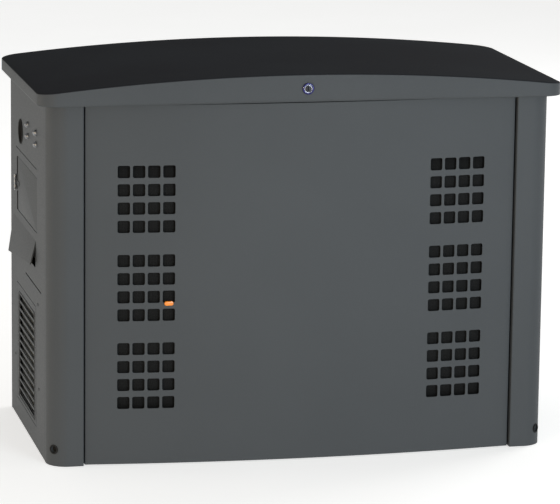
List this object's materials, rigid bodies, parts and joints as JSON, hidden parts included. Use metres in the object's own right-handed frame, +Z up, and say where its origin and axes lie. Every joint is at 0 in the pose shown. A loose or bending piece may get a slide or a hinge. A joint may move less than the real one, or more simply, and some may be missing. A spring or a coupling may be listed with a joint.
{
  "type": "home standby generator",
  "caption": "Outdoor home standby generator: bowed vented front panel, arched lift-up lid, side door and scoop, with an air-cooled V-twin gas engine and alternator inside.",
  "frame": {"origin": "on the floor under the middle of the lid, at the centre of the overall box's underside", "axes": "+Z up, +X to the right seen from the front, front panel towards -Y"},
  "size_m": [1.09, 0.5784, 0.801],
  "materials": {
    "grey_paint": "powder coat, satin",
    "lid_paint": "powder coat, fine texture",
    "black_paint": "semi-gloss",
    "black_plastic": "moulded",
    "rubber": "matt",
    "foam": "open-cell foam",
    "zinc_steel": "zinc plated",
    "lock_blue": "anodised",
    "lock_silver": "polished",
    "machined_steel": "machined",
    "cast_aluminium": "as cast",
    "valve_brass": "turned",
    "orange_plastic": "moulded",
    "filter_paint": "painted can",
    "exhaust_steel": "heat-tinted",
    "display_glass": "clear window over a dark display",
    "red_plastic": "moulded",
    "white_plastic": "moulded",
    "green_plastic": "moulded"
  },
  "bodies": {
    "cabinet": {"post_front_left": "grey_paint", "post_front_right": "grey_paint", "post_rear_left": "grey_paint", "post_rear_right": "grey_paint", "left_side_panel": "grey_paint", "intake_grille": "grey_paint", "air_hood": "grey_paint", "right_side_panel": "grey_paint", "rear_panel": "grey_paint", "top_rim": "grey_paint", "base_tray": "black_paint", "blower_housing": "black_paint", "rocker_cover_front": "black_paint", "rocker_cover_rear": "black_paint", "starter_motor": "black_paint", "control_box": "black_plastic", "breaker_box": "black_plastic", "air_cleaner": "black_plastic", "main_breaker": "black_plastic", "battery": "black_plastic", "rubber_mount_1": "rubber", "rubber_mount_2": "rubber", "rubber_mount_3": "rubber", "rubber_mount_4": "rubber", "port_grommet": "rubber", "door_hinge": "zinc_steel", "lid_hinge_left_fixed": "zinc_steel", "lid_hinge_right_fixed": "zinc_steel", "partition_wall": "zinc_steel", "dipstick_tube": "zinc_steel", "crankcase": "cast_aluminium", "cylinder_front": "cast_aluminium", "cylinder_rear": "cast_aluminium", "alternator_stator": "cast_aluminium", "alternator_end_bracket": "cast_aluminium", "gas_mixer": "cast_aluminium", "gas_regulator": "cast_aluminium", "gas_valve": "valve_brass", "oil_filter": "filter_paint", "muffler": "exhaust_steel", "exhaust_pipe": "exhaust_steel", "display": "display_glass"},
    "lid": {"lid_shell": "lid_paint", "lid_foam": "foam", "lock_body": "lock_blue", "lid_hinge_left_moving": "zinc_steel", "lid_hinge_right_moving": "zinc_steel"},
    "lock_key": {"lock_plug": "lock_silver"},
    "front_panel": {"front_panel": "grey_paint"},
    "side_door": {"side_door": "grey_paint"},
    "breaker_lever": {"breaker_lever": "orange_plastic"},
    "button_off": {"button_off": "red_plastic"},
    "button_manual": {"button_manual": "white_plastic"},
    "button_auto": {"button_auto": "green_plastic"},
    "shaft": {"rotor_shaft": "machined_steel", "flywheel_fan": "cast_aluminium"},
    "dipstick": {"dipstick": "orange_plastic"},
    "gas_lever": {"gas_lever": "orange_plastic"},
    "strut": {"strut_cylinder": "black_paint"},
    "strut_rod": {"strut_rod": "zinc_steel"}
  },
  "joints": [
    {"name": "lid_hinge", "type": "hinge", "parent": "cabinet", "child": "lid", "pos_m": [0, 0.2765, 0.745], "axis": [-1, 0, 0], "range_deg": [0, 70]},
    {"name": "key_turn", "type": "hinge", "parent": "lid", "child": "lock_key", "pos_m": [0.003, -0.286, 0.772], "axis": [0, 1, 0], "range_deg": [0, 90]},
    {"name": "front_panel_tip", "type": "hinge", "parent": "cabinet", "child": "front_panel", "pos_m": [0, -0.281, 0.006], "axis": [1, 0, 0], "range_deg": [0, 75]},
    {"name": "side_door_hinge", "type": "hinge", "parent": "cabinet", "child": "side_door", "pos_m": [-0.5285, 0.1685, 0.515], "axis": [0, 0, -1], "range_deg": [0, 100]},
    {"name": "breaker_toggle", "type": "hinge", "parent": "cabinet", "child": "breaker_lever", "pos_m": [-0.497, 0, 0.515], "axis": [0, -1, 0], "range_deg": [0, 60]},
    {"name": "press_off", "type": "slide", "parent": "cabinet", "child": "button_off", "axis": [0, 0.5145, -0.8575], "range_m": [0, 0.002], "stiffness_N_per_m": 400},
    {"name": "press_manual", "type": "slide", "parent": "cabinet", "child": "button_manual", "axis": [0, 0.5145, -0.8575], "range_m": [0, 0.002], "stiffness_N_per_m": 400},
    {"name": "press_auto", "type": "slide", "parent": "cabinet", "child": "button_auto", "axis": [0, 0.5145, -0.8575], "range_m": [0, 0.002], "stiffness_N_per_m": 400},
    {"name": "shaft_spin", "type": "hinge", "parent": "cabinet", "child": "shaft", "pos_m": [0, 0.01, 0.215], "axis": [1, 0, 0], "continuous": true},
    {"name": "dipstick_pull", "type": "slide", "parent": "cabinet", "child": "dipstick", "axis": [0, 0, 1], "range_m": [0, 0.11]},
    {"name": "gas_turn", "type": "hinge", "parent": "cabinet", "child": "gas_lever", "pos_m": [0.14, 0.228, 0.13], "axis": [1, 0, 0], "range_deg": [0, 90]},
    {"name": "strut_swing", "type": "hinge", "parent": "cabinet", "child": "strut", "pos_m": [0.484, -0.0755, 0.65], "axis": [1, 0, 0], "range_deg": [0, 8.62]},
    {"name": "strut_extend", "type": "slide", "parent": "strut", "child": "strut_rod", "axis": [0, 0.9081, 0.4188], "range_m": [0, 0.1306]}
  ],
  "couplings": [
    {"joint": "strut_swing", "follows": "lid_hinge", "ratio": 0.12236},
    {"joint": "strut_extend", "follows": "lid_hinge", "m_per_rad": 0.10654}
  ]
}
